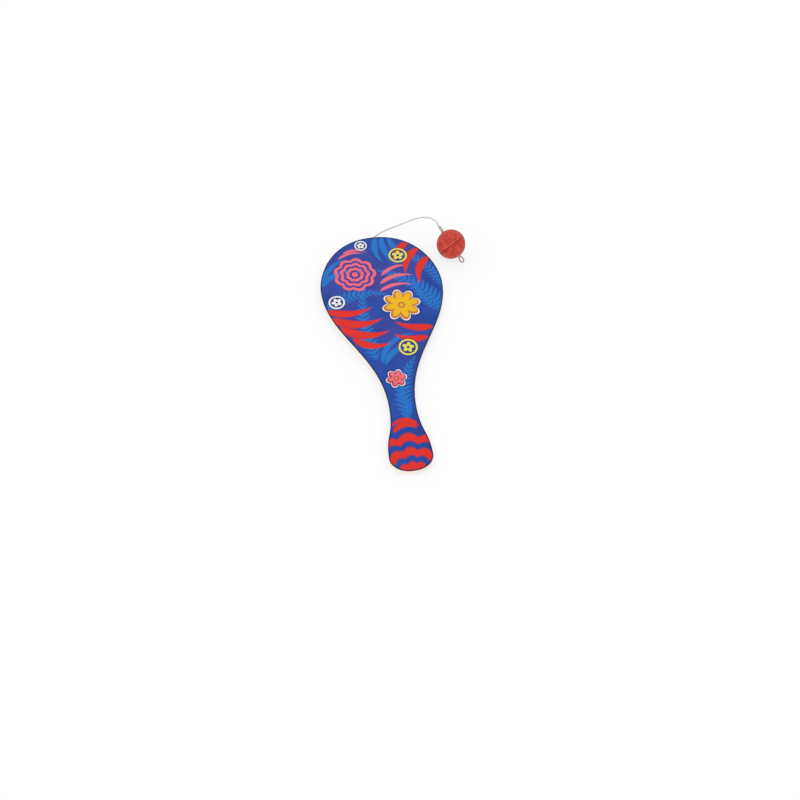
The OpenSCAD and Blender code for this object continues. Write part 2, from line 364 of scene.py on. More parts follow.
staple = {"crown": 10.0, "wireWide": 1.2, "wireThick": 0.6, "leg": 2.8, "point": 0.7,
          "bend": 0.75, "bendSteps": 5, "edge": 0.08, "edgeSteps": 2, "chisel": 0.9,
          "near": 0.01}


# Selects the faces, edges or vertices of a piece in edit mode that pass a test
def selectWhere(piece, kind, test):
    shape = bmesh.from_edit_mesh(piece.data)
    bpy.ops.mesh.select_all(action="DESELECT")
    bpy.ops.mesh.select_mode(type={"faces": "FACE", "edges": "EDGE", "verts": "VERT"}[kind])
    for part in getattr(shape, kind):
        part.select_set(bool(test(part)))
    shape.select_flush_mode()
    bmesh.update_edit_mesh(piece.data)


# Puts a piece that was modelled in mm at its place, in its own mesh
def settle(piece, place):
    piece.data.transform(place)
    piece.data.update()


bpy.ops.object.select_all(action="DESELECT")
bpy.ops.mesh.primitive_cube_add(size=1, location=(0, 0, staple["wireThick"] / 2))
stapleWire = bpy.context.active_object
stapleWire.name = "staple_wire"
stapleWire.scale = (staple["crown"] - 2 * staple["wireThick"], staple["wireWide"],
                    staple["wireThick"])
bpy.ops.object.transform_apply(location=True, rotation=False, scale=True)
bpy.ops.object.mode_set(mode="EDIT")
for side in (-1, 1):                      # a corner at each end, and then the leg up
    selectWhere(stapleWire, "faces",
                lambda f: f.normal.x * side > 0.9 and f.calc_center_median().x * side > 1)
    bpy.ops.mesh.extrude_region_move(
        TRANSFORM_OT_translate={"value": (side * staple["wireThick"], 0, 0)})
    cornerX = staple["crown"] / 2 - staple["wireThick"] / 2
    selectWhere(stapleWire, "faces", lambda f: f.normal.z > 0.9
                and abs(f.calc_center_median().x * side - cornerX) < 0.1)
    legTall = layout["backZ"] + staple["leg"] - staple["point"] - staple["wireThick"]
    for rise in (legTall, staple["point"]):
        bpy.ops.mesh.extrude_region_move(TRANSFORM_OT_translate={"value": (0, 0, rise)})
    selectWhere(stapleWire, "edges", lambda e: all(     # the chisel point
        v.co.z > layout["backZ"] + staple["leg"] - staple["near"]
        and v.co.x * side < staple["crown"] / 2 - staple["wireThick"] + staple["near"]
        and v.co.x * side > 0 for v in e.verts))
    bpy.ops.transform.translate(value=(0, 0, -staple["point"] * staple["chisel"]))
selectWhere(stapleWire, "edges", lambda e: all(         # the outer line of each bend
    v.co.z < staple["near"] and abs(v.co.x) > staple["crown"] / 2 - staple["near"]
    for v in e.verts))
bpy.ops.mesh.bevel(offset=staple["bend"], segments=staple["bendSteps"], affect="EDGES")
bpy.ops.object.mode_set(mode="OBJECT")
softEdge = stapleWire.modifiers.new("soft edge", "BEVEL")
softEdge.width = staple["edge"]
softEdge.segments = staple["edgeSteps"]
softEdge.limit_method = "ANGLE"
softEdge.angle_limit = math.radians(40)
only(stapleWire)
bpy.ops.object.modifier_apply(modifier=softEdge.name)
bpy.ops.object.shade_smooth_by_angle(angle=math.radians(35))
settle(stapleWire, toPaddle)
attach(stapleWire, "paddle")
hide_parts("staple")

# Galvanised steel wire, drawn and rolled flat: bright grey with faint lines along it
galvanised = {"zinc": "#c4c6c9", "dull": "#9fa3a8", "roughness": (0.28, 0.46),
              "lines": (4, 0.12, 1.5), "relief": (0.3, 0.01)}
wireMaterial, tree = newMaterial("galvanised steel wire")
coords = addNode(tree, "ShaderNodeTexCoord", output="Object")
drawn = addNode(tree, "ShaderNodeMapping",
                {"Vector": coords, "Scale": [1 / (size * mm) for size in galvanised["lines"]]})
lines = addNode(tree, noise, {"Vector": drawn, "Scale": 1.0, "Detail": 3.0}, "Fac")
colour = addNode(tree, "ShaderNodeMix", {0: lines, 6: toLinear(galvanised["dull"]),
                                         7: toLinear(galvanised["zinc"])}, 2,
                 data_type="RGBA")
rough = addNode(tree, mapRange, {0: lines, 1: noiseLow, 2: noiseHigh,
                                 3: galvanised["roughness"][0],
                                 4: galvanised["roughness"][1]})
addSurface(tree, colour, lines, galvanised["relief"], {"Metallic": 1.0, "Roughness": rough})
stapleWire.data.materials.append(wireMaterial)
print("staple: bent")


# Plywood: two veneers and a core, with the cut edge sanded a little round

plies = {"ease": 0.28, "easeSteps": 3, "groove": 0.09, "stapleRoom": 12.0,
         "nodes": {"face_ply": "veneer_face", "core_ply": "core_layer",
                   "back_ply": "veneer_back"}}


# A copy of a CAD node's mesh as one closed skin, with its flat faces whole again
def copyOfNode(nodeName, pieceName):
    piece = bpy.data.objects.new(pieceName, cadNodes[nodeName].data.copy())
    piece.data.materials.clear()
    bpy.context.scene.collection.objects.link(piece)
    only(piece)
    bpy.ops.object.mode_set(mode="EDIT")
    bpy.ops.mesh.select_all(action="SELECT")
    bpy.ops.mesh.remove_doubles(threshold=2e-6)
    bpy.ops.mesh.dissolve_limited(angle_limit=math.radians(0.05))
    bpy.ops.object.mode_set(mode="OBJECT")
    return piece


# Selects the outline of a ply's top or bottom face, in edit mode, without the slots that
# the staple is driven into
def outlineOf(piece, upwards):
    staplePlace = toPaddle @ Vector((0, 0, layout["backZ"]))
    room = plies["stapleRoom"] * mm
    selectWhere(piece, "faces", lambda f: f.normal.z * upwards > 0.99)
    bpy.ops.mesh.region_to_loop()
    shape = bmesh.from_edit_mesh(piece.data)
    for edge in shape.edges:
        if edge.select and (edge.verts[0].co - staplePlace).length < room:
            edge.select_set(False)
    bmesh.update_edit_mesh(piece.data)


# Bare poplar veneer, rotary cut and sanded. The fibres run along the given direction and
# give fine streaks, wide ones follow the year rings, and short dark ones are the pores
def woodMaterial(name, wood):
    material, tree = newMaterial(name)
    coords = addNode(tree, "ShaderNodeTexCoord", output="Object")
    fac = {}
    for label in ("fibre", "figure", "pore"):
        long, across = wood[label]
        scale = [1 / (across * mm)] * 3
        scale[wood["along"]] = 1 / (long * mm)
        stretched = addNode(tree, "ShaderNodeMapping", {"Vector": coords, "Scale": scale})
        fac[label] = addNode(tree, noise, {"Vector": stretched, "Scale": 1.0,
                                           "Detail": wood["detail"]}, "Fac")
    rings = addNode(tree, calc, {0: fac["figure"], 1: wood["rings"]}, operation="MULTIPLY")
    rings = addNode(tree, calc, {0: rings, 1: 1.0}, operation="PINGPONG")
    late = addNode(tree, mapRange, {0: rings, 1: wood["ringFrom"], 4: wood["ringDepth"]})
    pores = addNode(tree, mapRange, {0: fac["pore"], 1: wood["poreEdge"][0],
                                     2: wood["poreEdge"][1], 4: wood["poreDepth"]})
    colour = toLinear(wood["pale"])
    for mask, tint in ((fac["fibre"], "mid"), (late, "late"), (pores, "dark")):
        colour = addNode(tree, "ShaderNodeMix", {0: mask, 6: colour,
                                                 7: toLinear(wood[tint])}, 2,
                         data_type="RGBA")
    depth = addNode(tree, calc, {0: fac["fibre"], 1: pores}, operation="SUBTRACT")
    rough = addNode(tree, mapRange, {0: fac["fibre"], 1: noiseLow, 2: noiseHigh,
                                     3: wood["roughness"][0], 4: wood["roughness"][1]})
    addSurface(tree, colour, depth, wood["relief"],
               {"Roughness": rough, "Specular IOR Level": wood["specular"]})
    return material


veneerWood = {"along": 1, "fibre": (22, 0.45), "figure": (140, 9), "pore": (3.2, 0.22),
              "detail": 4.0, "rings": 9.0, "ringFrom": 0.45, "ringDepth": 0.4,
              "poreEdge": (0.66, 0.74), "poreDepth": 0.45, "relief": (0.45, 0.12),
              "roughness": (0.62, 0.8), "specular": 0.3,
              "pale": "#fdf9f0", "mid": "#f9f2e4", "late": "#f0e4cc", "dark": "#cab084"}
coreWood = dict(veneerWood, along=0, fibre=(9, 0.3), figure=(60, 2.2), pore=(4, 0.28),
                rings=5.0, poreDepth=0.7, relief=(0.9, 0.12),
                pale="#fcf6ea", mid="#f7eddb", late="#ecddbf", dark="#b99b70")
glueWood = dict(coreWood, pale="#e3cda5", mid="#d4b98b", late="#c3a372", dark="#9c7b4e")
backWood = dict(veneerWood, ringDepth=0.62, poreDepth=0.6,
                pale="#f1e3c7", mid="#e8d6b3", late="#d8bf94", dark="#ab8857")
veneer = woodMaterial("poplar veneer, cut edge", veneerWood)
veneerBack = woodMaterial("rotary cut poplar veneer", backWood)
coreEdge = woodMaterial("sawn poplar core", coreWood)
glueLine = woodMaterial("resin glue line", glueWood)
for nodeName, pieceName in plies["nodes"].items():
    piece = copyOfNode(nodeName, pieceName)
    isCore = nodeName == "core_ply"
    for material in (coreEdge if isCore else veneer, glueLine, veneerBack):
        piece.data.materials.append(material)
    bpy.ops.object.mode_set(mode="EDIT")
    for upwards in (1, -1):
        outer = not isCore and upwards == (1 if nodeName == "face_ply" else -1)
        outlineOf(piece, upwards)
        bpy.ops.mesh.bevel(offset=(plies["ease"] if outer else plies["groove"]) * mm,
                           segments=plies["easeSteps"] if outer else 1,
                           affect="EDGES", material=0 if outer else 1)
    bpy.ops.object.mode_set(mode="OBJECT")
    bpy.ops.object.shade_smooth_by_angle(angle=math.radians(20))
    for face in piece.data.polygons:         # the broad faces show the veneer's figure
        if not isCore and abs(face.normal.z) > 0.99:
            face.material_index = 2
    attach(piece, "paddle")
    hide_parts(nodeName)
print("plywood: three plies")


# Print: coated paper laminated to the face

sheet = {"rim": 1.1, "wear": 1.6, "ragged": 0.5, "raggedSize": 2.2, "cover": 0.85,
         # where a dark rim and white chips end, and where they are whole, mm from the edge
         "edges": [("night", 1.55, 1.1), ("white", 0.17, 0.09)],
         # the wood's grain across, along and through the sheet
         "grain": (0.5, 14, 1000), "relief": (0.25, 0.05), "gloss": (0.42, 0.5),
         "tone": (0.965, 1.03), "specular": 0.22}
printSheet = copyOfNode("print_film", "print_sheet")
bpy.ops.object.mode_set(mode="EDIT")
bmesh.from_edit_mesh(printSheet.data).verts.layers.float.new("inward")
selectWhere(printSheet, "faces", lambda f: f.normal.z > 0.99)
inward = 0.0
for step in (sheet["rim"], sheet["wear"]):   # the attribute says how far in a point is
    bpy.ops.mesh.inset(thickness=step * mm, depth=0)
    inward += step
    shape = bmesh.from_edit_mesh(printSheet.data)
    layer = shape.verts.layers.float["inward"]
    for v in shape.verts:
        v[layer] = inward if v.select else v[layer]
bpy.ops.object.mode_set(mode="OBJECT")
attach(printSheet, "paddle")
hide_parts("print_film")

# The artwork is drawn in mm from the staple, in flat inks on a blue field. Brush marks are
# given by start, heading, length, bend and half width; fronds also by leaflets
inks = {
    "field": "#1f47a1", "fieldDeep": "#183a90", "sky": "#1c72c6", "skyDeep": "#1a57ad",
    "red": "#df2a20", "redDeep": "#a8283c", "pink": "#ea6c7a", "pinkDeep": "#b04a86",
    "yellow": "#ebb810", "orange": "#cd7633", "lemon": "#e4da60", "white": "#f3f0f2",
    "night": "#131d4c", "plum": "#5c3a92",
}
artwork = {
    "fieldPatch": 24.0, "fieldEdge": (0.42, 0.68), "shapeSoft": 0.35, "ringSoft": 0.11,
    "soft": {"sky": 0.9, "red": 0.45, "pink": 0.6},
    "washes": [(-23, 24, 24), (8, -46, 18), (-34, -26, 18), (34, 42, 18), (8, 14, 16)],
    "washDepth": 0.36,
    "fronds": [(52, -20, 119, 76, 40, 8.5, 17), (50, -22, 150, 46, -60, 6, 12),
               (53, 4, 98, 60, 62, 7, 14), (-50, -12, 46, 60, -70, 7, 14),
               (-14, -66, 108, 78, -34, 8, 18), (3, -123, 101, 62, -52, 7.5, 15),
               (2, -123, 80, 46, 44, 5.5, 12)],
    "leaves": [(-8, -72, 70, 40, -90, 2.8), (-10, -70, 84, 46, -90, 2.8),
               (2, 67, 246, 34, 60, 3), (7, 67, 262, 40, 50, 3.2), (13, 66, 278, 38, 40, 3),
               (-52, 14, 60, 34, -60, 3), (-53, 16, 74, 40, -50, 2.8)],
    "ribbons": [(-2, 4, 38, 32, -62, 1.9), (-1, 12, 44, 34, -66, 2.2), (1, 21, 52, 30, -66, 1.9),
                (-30, 50, 32, 24, -70, 1.6), (-35, 44, 44, 26, -70, 1.6)],
    "flames": [(-51, -12, -30, 42, 60, 3.4), (-47, -21, -38, 46, 66, 3.9),
               (-40, -31, -46, 44, 72, 3.7), (-31, -43, -52, 34, 76, 3.1),
               (30, 57, 205, 30, 62, 3.2), (38, 49, 210, 34, 66, 3.4),
               (46, 38, 214, 34, 70, 3.3), (37, -38, 190, 34, -50, 3.2),
               (31, -48, 196, 30, -56, 3), (9, -131, 118, 26, 120, 2.4),
               (-10, -134, 62, 22, -120, 2.2)],
    "rosette": {"place": (-22, 25), "size": 21.5, "petals": 9, "depth": 0.13, "rings": 4,
                "last": 0.94, "levels": [("pinkDeep", -0.45), ("pink", 0.0)]},
    "daisies": [
        {"place": (14, -13), "size": 16.0, "petals": 8, "depth": 0.3, "turn": 9,
         "heart": 3.3, "outline": 1.1, "inks": ("orange", "yellow")},
        {"place": (-1, -86), "size": 8.0, "petals": 6, "depth": 0.3, "turn": 9,
         "heart": 1.9, "outline": 0.8, "inks": ("redDeep", "pink")},
    ],
    "daisy": {"shade": 1.2, "shadeSoft": 2.0, "shadeFull": 0.5, "litOff": (0.03, 0.04),
              "litSize": 0.88, "litDepth": 1.7, "litSoft": 1.2, "eye": 0.5, "eyeSoft": 0.6},
    "badges": [("lemon", (19, 43), 8.6, 12), ("white", (-41, -4), 7.2, 40),
               ("lemon", (13, -57), 8.2, 75), ("white", (-13, 58), 5.8, 20)],
    "badge": {"petals": 5, "depth": 0.5, "bloom": 0.62, "line": 0.1, "rim": 0.88, "eye": 0.15,
              "shade": 1.08, "shadeSoft": 1.6, "shadeFull": 0.55},
    "arcs": {"place": (0, -178), "pitch": 6.0, "petals": 15, "depth": 0.09, "last": 7.5,
             "turn": 90, "levels": [("redDeep", -0.35), ("red", 0.05)]},
    # powers that shape the swell, then the leaflets and stem of a frond, then the shades
    "brush": {"early": 0.6, "blunt": 0.8, "least": 0.001, "lean": 0.9, "leafFull": 0.9,
              "stem": 0.75, "shade": 0.25, "frondShade": 0.5, "shadeSoft": 1.8},
}
printMaterial, artTree = newMaterial("offset print on coated paper")


def newGroup(name, inputs, outputs):
    group = bpy.data.node_groups.new(name, "ShaderNodeTree")
    for label in inputs:
        kind = "NodeSocketVector" if label in ("Point", "Centre") else "NodeSocketFloat"
        group.interface.new_socket(label, in_out="INPUT", socket_type=kind)
    for label in outputs:
        group.interface.new_socket(label, in_out="OUTPUT", socket_type="NodeSocketFloat")
    return group, addNode(group, "NodeGroupInput").node.outputs


brush = artwork["brush"]

# A brush mark follows an arc and swells from its start, as a round brush does. A frond has
# the same form, cut into leaflets that lean forward on a stem. Both have a soft shade round
marks, given = newGroup("brush mark", ["Point", "Centre", "Turn", "Side", "Radius", "Sweep",
                                       "Width", "Soft", "Leaflets", "Leaflet"],
                        ["Stroke", "Stroke shade", "Frond", "Frond shade"])
away = addNode(marks, vec, {0: given["Point"], 1: given["Centre"]}, operation="SUBTRACT")
split = addNode(marks, "ShaderNodeSeparateXYZ", {0: away})
angle = addNode(marks, calc, {0: split.node.outputs["Y"], 1: split}, operation="ARCTAN2")
angle = addNode(marks, calc, {0: angle, 1: given["Turn"]}, operation="SUBTRACT")
angle = addNode(marks, calc, {0: angle, 1: given["Side"]}, operation="MULTIPLY")
angle = addNode(marks, calc, {0: angle, 1: 2 * math.pi}, operation="FLOORED_MODULO")
share = addNode(marks, calc, {0: angle, 1: given["Sweep"]}, operation="DIVIDE",
                use_clamp=True)
swell = addNode(marks, calc, {0: share, 1: brush["early"]}, operation="POWER")
swell = addNode(marks, calc, {0: swell, 1: math.pi}, operation="MULTIPLY")
swell = addNode(marks, calc, {0: swell}, operation="SINE", use_clamp=True)
swell = addNode(marks, calc, {0: swell, 1: brush["blunt"]}, operation="POWER")
swell = addNode(marks, calc, {0: swell, 1: given["Width"]}, operation="MULTIPLY")
far = addNode(marks, vec, {0: away}, "Value", operation="LENGTH")
off = addNode(marks, calc, {0: far, 1: given["Radius"]}, operation="SUBTRACT")
off = addNode(marks, calc, {0: off}, operation="ABSOLUTE")
inside = addNode(marks, calc, {0: swell, 1: off}, operation="SUBTRACT")
widened = addNode(marks, calc, {0: swell, 1: brush["shade"], 2: inside},
                  operation="MULTIPLY_ADD")
left = addNode(marks, calc, {0: 1.0, 1: share}, operation="SUBTRACT")
safe = addNode(marks, calc, {0: swell, 1: brush["least"]}, operation="MAXIMUM")
out = addNode(marks, calc, {0: off, 1: safe}, operation="DIVIDE", use_clamp=True)
count = addNode(marks, calc, {0: share, 1: given["Leaflets"]}, operation="MULTIPLY")
count = addNode(marks, calc, {0: out, 1: -brush["lean"], 2: count},
                operation="MULTIPLY_ADD")
between = addNode(marks, calc, {0: count, 1: 0.5}, operation="PINGPONG")
between = addNode(marks, calc, {0: between, 1: 2.0, 2: -1.0}, operation="MULTIPLY_ADD")
leaf = addNode(marks, calc, {0: out, 1: 2.0}, operation="POWER")
leaf = addNode(marks, calc, {0: 1.0, 1: leaf}, operation="SUBTRACT")
leaf = addNode(marks, calc, {0: leaf, 1: 0.5}, operation="POWER")
leaf = addNode(marks, calc, {0: leaf, 1: brush["leafFull"], 2: between},
               operation="MULTIPLY_ADD")
leaf = addNode(marks, calc, {0: leaf, 1: given["Leaflet"]}, operation="MULTIPLY")
stem = addNode(marks, calc, {0: left, 1: brush["stem"]}, operation="MULTIPLY")
stem = addNode(marks, calc, {0: stem, 1: off}, operation="SUBTRACT")
frond = addNode(marks, calc, {0: leaf, 1: stem}, operation="MAXIMUM")
shaded = addNode(marks, calc, {0: left, 1: brush["frondShade"], 2: frond},
                 operation="MULTIPLY_ADD")
softer = addNode(marks, calc, {0: given["Soft"], 1: brush["shadeSoft"]},
                 operation="MULTIPLY")
addNode(marks, "NodeGroupOutput",
        {i: addNode(marks, calc, {0: form, 1: soft}, operation="DIVIDE", use_clamp=True)
         for i, (form, soft) in enumerate([(inside, given["Soft"]), (widened, softer),
                                           (frond, given["Soft"]), (shaded, softer)])})

# How far out a point is in a flower or scalloped ring, 1 on its outline
bloomGroup, given = newGroup("bloom", ["Point", "Centre", "Turn", "Size", "Petals", "Depth"],
                             ["Reach"])
away = addNode(bloomGroup, vec, {0: given["Point"], 1: given["Centre"]},
               operation="SUBTRACT")
split = addNode(bloomGroup, "ShaderNodeSeparateXYZ", {0: away})
angle = addNode(bloomGroup, calc, {0: split.node.outputs["Y"], 1: split},
                operation="ARCTAN2")
for value, does in ((given["Turn"], "SUBTRACT"), (given["Petals"], "MULTIPLY"),
                    (0.5, "MULTIPLY")):
    angle = addNode(bloomGroup, calc, {0: angle, 1: value}, operation=does)
lobe = addNode(bloomGroup, calc, {0: angle}, operation="COSINE")
lobe = addNode(bloomGroup, calc, {0: lobe}, operation="ABSOLUTE")
lobe = addNode(bloomGroup, calc, {0: lobe, 1: 1.0}, operation="SUBTRACT")
lobe = addNode(bloomGroup, calc, {0: lobe, 1: given["Depth"], 2: 1.0},
               operation="MULTIPLY_ADD")
edge = addNode(bloomGroup, calc, {0: lobe, 1: given["Size"]}, operation="MULTIPLY")
far = addNode(bloomGroup, vec, {0: away}, "Value", operation="LENGTH")
reach = addNode(bloomGroup, calc, {0: far, 1: edge}, operation="DIVIDE")
addNode(bloomGroup, "NodeGroupOutput", {0: reach})

coords = addNode(artTree, "ShaderNodeTexCoord", output="Object")
artPoint = addNode(artTree, vec, {0: coords, 1: (1 / mm, 1 / mm, 0),
                                  2: (layout["origin"][0], layout["origin"][1], 0)},
                   operation="MULTIPLY_ADD")

# What is printed, from the bottom up: each ink with its mask, or with its mask's inputs
layers = []


# The four masks of a brush mark
def brushMasks(mark, soft):
    x, y, heading, length, bend, width, *leaflets = mark
    count = leaflets[0] if leaflets else 1
    side = math.copysign(1, bend)
    sweep = math.radians(abs(bend))
    way = math.radians(heading)
    radius = length / sweep
    centre = (x - side * radius * math.sin(way), y + side * radius * math.cos(way), 0)
    return addNode(artTree, "ShaderNodeGroup",
                   {"Point": artPoint, "Centre": centre, "Side": side, "Radius": radius,
                    "Turn": math.atan2(y - centre[1], x - centre[0]), "Sweep": sweep,
                    "Width": width, "Soft": soft, "Leaflets": count,
                    "Leaflet": length / count / 2}, node_tree=marks).node.outputs


def bloomReach(place, size, petals=1, depth=0.0, turn=0.0):
    return addNode(artTree, "ShaderNodeGroup",
                   {"Point": artPoint, "Centre": (place[0], place[1], 0), "Size": size,
                    "Turn": math.radians(turn), "Petals": petals, "Depth": depth},
                   node_tree=bloomGroup)


# For a mask that is 1 where reach is below the limit, with an edge as soft as ink on paper
def within(reach, limit, size, soft=artwork["shapeSoft"], full=1.0):
    gap = soft / size / 2
    return {0: reach, 1: limit + gap, 2: limit - gap, 4: full}


# Rings of two inks where a wave of the reach is above their levels, inside the edge
def layRings(reach, turn, edge, levels):
    soft = artwork["ringSoft"]
    inside = addNode(artTree, mapRange, edge)
    wave = addNode(artTree, calc, {0: reach, 1: turn}, operation="MULTIPLY")
    wave = addNode(artTree, calc, {0: wave}, operation="SINE")
    for ink, level in levels:
        ring = addNode(artTree, mapRange, {0: wave, 1: level - soft, 2: level + soft})
        ring = addNode(artTree, calc, {0: ring, 1: inside}, operation="MULTIPLY")
        layers.append((ink, ring))


patches = addNode(artTree, noise, {"Vector": coords, "Detail": 2.0,
                                   "Scale": 1 / (artwork["fieldPatch"] * mm)}, "Fac")
patches = addNode(artTree, mapRange, {0: patches, 1: artwork["fieldEdge"][0],
                                      2: artwork["fieldEdge"][1]})
layers.append(("fieldDeep", patches))
for x, y, size in artwork["washes"]:
    layers.append(("plum", within(bloomReach((x, y), size), 1.0, size, size,
                                  full=artwork["washDepth"])))
for kind, shape, ink in (("fronds", "Frond", "sky"), ("leaves", "Stroke", "sky"),
                         ("ribbons", "Stroke", "pink"), ("flames", "Stroke", "red")):
    for mark in artwork[kind]:
        masks = brushMasks(mark, artwork["soft"][ink])
        layers += [(ink + "Deep", masks[shape + " shade"]), (ink, masks[shape])]
rosette = artwork["rosette"]
reach = bloomReach(rosette["place"], rosette["size"], rosette["petals"], rosette["depth"])
layRings(reach, rosette["rings"] * 2 * math.pi,
         within(reach, rosette["last"], rosette["size"]), rosette["levels"])
arcs = artwork["arcs"]
reach = bloomReach(arcs["place"], arcs["pitch"], arcs["petals"], arcs["depth"], arcs["turn"])
layRings(reach, math.pi, within(reach, arcs["last"], arcs["pitch"]), arcs["levels"])
daisyForm = artwork["daisy"]
for daisy in artwork["daisies"]:
    place, size, petals, turn = (daisy[key] for key in ("place", "size", "petals", "turn"))
    under, over = daisy["inks"]
    reach = bloomReach(place, size, petals, daisy["depth"], turn)
    shadeTo = 1 + (daisy["outline"] + daisyForm["shade"]) / size
    litPlace = [p + off * size for p, off in zip(place, daisyForm["litOff"])]
    lit = bloomReach(litPlace, size * daisyForm["litSize"], petals,
                     daisy["depth"] * daisyForm["litDepth"], turn)
    heart = bloomReach(place, daisy["heart"])
    layers += [("night", within(reach, shadeTo, size, daisyForm["shadeSoft"],
                                daisyForm["shadeFull"])),
               ("white", within(reach, 1 + daisy["outline"] / size, size)),
               (under, within(reach, 1.0, size)),
               (over, within(lit, 1.0, size, daisyForm["litSoft"]))]
    for ink, limit in ((under, 1.0), ("yellow", daisyForm["eye"])):
        layers.append((ink, within(heart, limit, daisy["heart"], daisyForm["eyeSoft"])))
badge = artwork["badge"]
for ink, place, size, turn in artwork["badges"]:
    disc = bloomReach(place, size)
    rim = addNode(artTree, calc, {0: disc, 1: badge["rim"]}, operation="SUBTRACT")
    rim = addNode(artTree, calc, {0: rim}, operation="ABSOLUTE")
    bloom = bloomReach(place, size * badge["bloom"], badge["petals"], badge["depth"], turn)
    eye = size * badge["eye"]
    layers += [("night", within(disc, badge["shade"], size, badge["shadeSoft"],
                                badge["shadeFull"])),
               (ink, within(rim, badge["line"], size)), (ink, within(bloom, 1.0, size)),
               ("night", within(bloomReach(place, eye), 1.0, eye))]

# Satin coating over paper, which lets the grain of the wood through as long faint lines
stretch = addNode(artTree, "ShaderNodeMapping",
                  {"Vector": coords, "Scale": [1 / (size * mm) for size in sheet["grain"]]})
grain = addNode(artTree, noise, {"Vector": stretch, "Scale": 1.0, "Detail": 3.0}, "Fac")
edgeMm = addNode(artTree, "ShaderNodeAttribute", output="Fac", attribute_name="inward")
rough = addNode(artTree, noise, {"Vector": coords, "Scale": 1 / (sheet["raggedSize"] * mm),
                                 "Detail": 4.0}, "Fac")
ragged = addNode(artTree, calc, {0: rough, 1: sheet["ragged"], 2: edgeMm},
                 operation="MULTIPLY_ADD")
for ink, noneFrom, wholeTo in sheet["edges"]:
    layers.append((ink, {0: ragged, 1: noneFrom, 2: wholeTo, 4: sheet["cover"]}))

art = toLinear(inks["field"])
for ink, mask in layers:
    if isinstance(mask, dict):
        mask = addNode(artTree, mapRange, mask)
    art = addNode(artTree, "ShaderNodeMix", {0: mask, 6: art, 7: toLinear(inks[ink])}, 2,
                  data_type="RGBA")
tone, gloss = (addNode(artTree, mapRange, {0: grain, 1: noiseLow, 2: noiseHigh,
                                           3: least, 4: most})
               for least, most in (sheet["tone"], sheet["gloss"]))
art = addNode(artTree, "ShaderNodeMix", {0: 1.0, 6: art, 7: tone}, 2, data_type="RGBA",
              blend_type="MULTIPLY")
addSurface(artTree, art, grain, sheet["relief"],
           {"Roughness": gloss, "Specular IOR Level": sheet["specular"]})
printSheet.data.materials.append(printMaterial)
print("print: sheet laid")


# Ball: moulded sponge rubber, with a flash line and a hole

bpy.ops.object.select_all(action="DESELECT")
bpy.ops.mesh.primitive_uv_sphere_add(segments=ball["segments"], ring_count=ball["rings"],
                                     radius=ball["radius"], location=(0, 0, 0))
rubberBall = bpy.context.active_object
rubberBall.name = "rubber_ball"
ringGap = math.pi * ball["radius"] / ball["rings"]
rimRadius = ball["boreRadius"] + ball["mouthRadius"]


def fromAxis(v):
    return math.hypot(v.co.x, v.co.y)


bpy.ops.object.mode_set(mode="EDIT")
selectWhere(rubberBall, "verts", lambda v: fromAxis(v) < rimRadius)
bpy.ops.mesh.delete(type="VERT")
for side in (-1, 1):
    selectWhere(rubberBall, "edges", lambda e: e.is_boundary and e.verts[0].co.z * side > 0)
    shape = bmesh.from_edit_mesh(rubberBall.data)
    radius = fromAxis(next(v for v in shape.verts if v.select))
    for nextRadius, fall in ball["mouthSteps"]:
        bpy.ops.mesh.extrude_region_move(
            TRANSFORM_OT_translate={"value": (0, 0, -side * fall)})
        share = nextRadius / radius
        bpy.ops.transform.resize(value=(share, share, 1), center_override=(0, 0, 0))
        radius = nextRadius
selectWhere(rubberBall, "edges", lambda e: e.is_boundary)
bpy.ops.mesh.bridge_edge_loops(number_cuts=ball["boreCuts"])
for low, high, rise in ((-0.3, 0.3, ball["ridge"]), (-1.5, -0.5, -ball["groove"])):
    selectWhere(rubberBall, "verts", lambda v: low * ringGap < v.co.z < high * ringGap
                and fromAxis(v) > ball["seamFrom"])
    share = (ball["radius"] + rise) / ball["radius"]
    bpy.ops.transform.resize(value=(share, share, 1), center_override=(0, 0, 0))
bpy.ops.object.mode_set(mode="OBJECT")
for label, kind, size, depth in ball["dents"]:
    texture = bpy.data.textures.new(label, kind)
    texture.noise_scale = size
    if kind == "VORONOI":                    # open only in the middle of each cell
        texture.use_color_ramp = True
        for level, place in enumerate(ball["pitEdge"]):
            element = texture.color_ramp.elements[level]
            element.position = place
            element.color = (level, level, level, 1)
    dent = rubberBall.modifiers.new(label, "DISPLACE")
    dent.texture = texture
    dent.texture_coords = "LOCAL"
    dent.strength = depth
    dent.mid_level = 1.0
    only(rubberBall)
    bpy.ops.object.modifier_apply(modifier=dent.name)
bpy.ops.object.shade_smooth()
settle(rubberBall, toBall @ Matrix.Rotation(math.radians(90), 4, "Y"))
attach(rubberBall, "ball")
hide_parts("ball")

# Sponge rubber, moulded in two halves: dull coral red with a dusty bloom, fine open cells with
# painted shade in their pits, and a line where the halves meet, with a painted highlight on its
# ridge and painted shade beside it
rubber = {"red": "#bf3229", "pitShadeInk": "#9c2e26", "bloom": "#d25a4b", "line": "#9c2620",
          "ridge": "#d8766a", "cell": 0.6, "cellEdge": (0.12, 0.32), "pit": 0.7,
          "cloud": 3.4, "dust": (0.42, 0.66, 0.8), "grit": 0.3, "gritShare": 0.35,
          # painted shade beside the seam's ridge and painted highlight on it: colour, place across the
          # seam, half width in mm and strength
          "seam": [("line", -0.85, 1.3, 0.7), ("ridge", 0.35, 0.6, 0.5)], "seamFull": 0.3,
          "relief": (0.6, 0.1),
          "surface": {"Roughness": 0.85, "Specular IOR Level": 0.25, "Sheen Weight": 0.15,
                      "Sheen Roughness": 0.5}}
rubberMaterial, tree = newMaterial("moulded sponge rubber")
coords = addNode(tree, "ShaderNodeTexCoord", output="Object")
cells = addNode(tree, "ShaderNodeTexVoronoi",
                {"Vector": coords, "Scale": 1 / (rubber["cell"] * mm)}, "Distance")
between = addNode(tree, mapRange, {0: cells, 1: rubber["cellEdge"][0],
                                   2: rubber["cellEdge"][1]})
